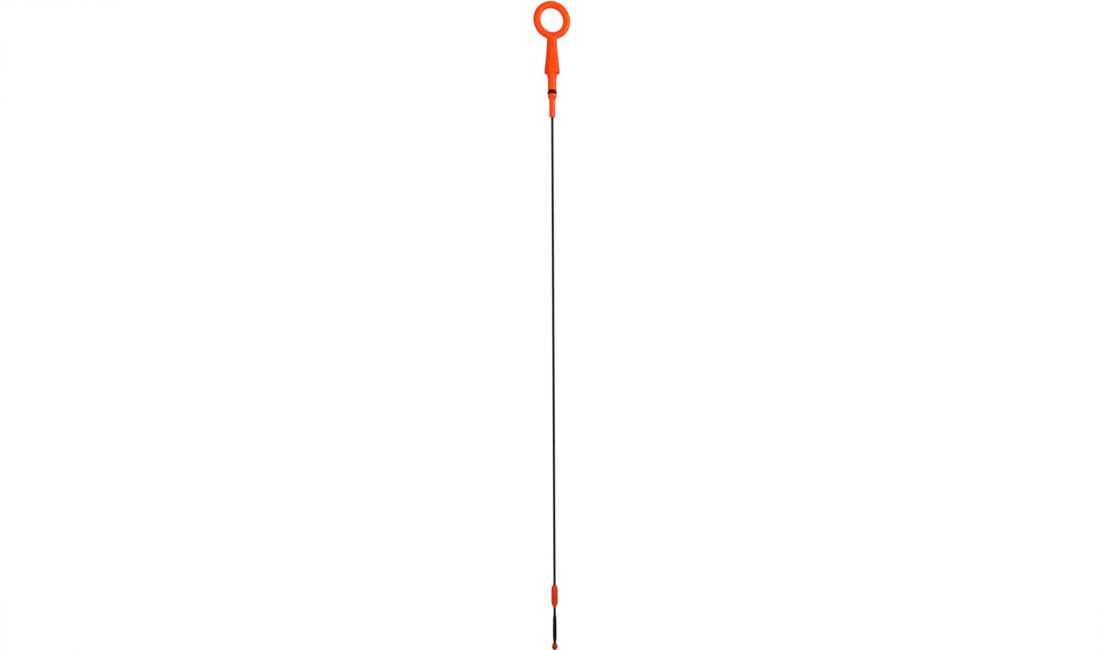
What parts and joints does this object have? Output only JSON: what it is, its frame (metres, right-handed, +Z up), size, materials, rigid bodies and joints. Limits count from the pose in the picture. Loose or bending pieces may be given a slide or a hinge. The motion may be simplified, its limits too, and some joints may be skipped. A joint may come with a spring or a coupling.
{
  "type": "engine oil dipstick",
  "caption": "Long engine oil dipstick: moulded orange handle with a finger ring, sealed neck, coated wire with a stop bead, flattened reading blade and moulded tip.",
  "frame": {"origin": "on the surface that the stick lies on, under the middle of its length", "axes": "+Y along the stick towards the finger ring, +Z up from the surface, +X to the side on which the ring hangs low, just off the surface"},
  "size_m": [0.035, 0.6176, 0.0152],
  "materials": {
    "handle_plastic": "smooth orange injection moulding with a soft gloss",
    "seal_rubber": "black nitrile rubber, slightly oily",
    "coated_wire": "steel wire with a thin black coating, satin",
    "bead_plastic": "smooth deep orange moulding",
    "tip_plastic": "smooth dark orange moulding"
  },
  "bodies": {
    "root": {"handle": "handle_plastic", "o_ring": "seal_rubber", "rod": "coated_wire", "stop_bead": "bead_plastic", "tip": "tip_plastic"}
  },
  "joints": []
}
